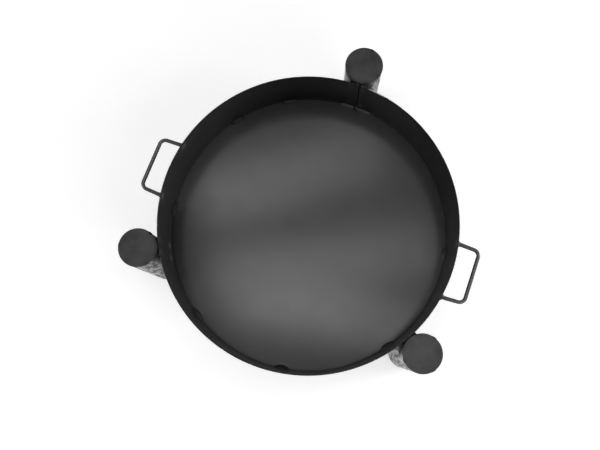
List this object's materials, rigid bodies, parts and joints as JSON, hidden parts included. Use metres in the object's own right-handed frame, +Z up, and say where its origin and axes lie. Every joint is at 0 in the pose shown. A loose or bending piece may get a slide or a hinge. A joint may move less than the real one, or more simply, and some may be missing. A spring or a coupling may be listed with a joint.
{
  "type": "fire pit",
  "caption": "Round flat-bottomed steel fire bowl carried between capped tube legs, with bent rod handles.",
  "frame": {"origin": "on the ground, under the middle of the outline", "axes": "+X from the left handle to the right handle, +Y towards the rear leg, +Z up"},
  "size_m": [0.6911, 0.6784, 0.29],
  "materials": {
    "pan_paint": "satin black heat-resistant paint on rolled sheet, slightly mottled",
    "leg_paint": "semi-gloss black paint on tube, with lengthwise streaks",
    "cap_paint": "satin black paint on cut plate",
    "handle_paint": "semi-gloss black paint on round rod",
    "weld_bead": "rippled weld metal under satin black paint"
  },
  "bodies": {
    "root": {"floor_bead_underside": "weld_bead", "floor_tack_1": "weld_bead", "floor_tack_2": "weld_bead", "floor_tack_3": "weld_bead", "floor_tack_4": "weld_bead", "floor_tack_5": "weld_bead", "floor_tack_6": "weld_bead", "floor_tack_7": "weld_bead", "floor_tack_8": "weld_bead", "floor_tack_9": "weld_bead", "left_handle_bead_a": "weld_bead", "left_handle_bead_b": "weld_bead", "left_handle_rod": "handle_paint", "left_leg_cap": "cap_paint", "left_leg_cap_tack_1": "weld_bead", "left_leg_cap_tack_2": "weld_bead", "left_leg_cap_tack_3": "weld_bead", "left_leg_stitch_lower_a": "weld_bead", "left_leg_stitch_lower_b": "weld_bead", "left_leg_stitch_upper_a": "weld_bead", "left_leg_stitch_upper_b": "weld_bead", "left_leg_tube": "leg_paint", "pan_floor": "pan_paint", "pan_wall": "pan_paint", "rear_leg_cap": "cap_paint", "rear_leg_cap_tack_1": "weld_bead", "rear_leg_cap_tack_2": "weld_bead", "rear_leg_cap_tack_3": "weld_bead", "rear_leg_stitch_lower_a": "weld_bead", "rear_leg_stitch_lower_b": "weld_bead", "rear_leg_stitch_upper_a": "weld_bead", "rear_leg_stitch_upper_b": "weld_bead", "rear_leg_tube": "leg_paint", "right_handle_bead_a": "weld_bead", "right_handle_bead_b": "weld_bead", "right_handle_rod": "handle_paint", "right_leg_cap": "cap_paint", "right_leg_cap_tack_1": "weld_bead", "right_leg_cap_tack_2": "weld_bead", "right_leg_cap_tack_3": "weld_bead", "right_leg_stitch_lower_a": "weld_bead", "right_leg_stitch_lower_b": "weld_bead", "right_leg_stitch_upper_a": "weld_bead", "right_leg_stitch_upper_b": "weld_bead", "right_leg_tube": "leg_paint", "seam_tack_lower": "weld_bead", "seam_tack_middle": "weld_bead", "seam_tack_upper": "weld_bead"}
  },
  "joints": []
}
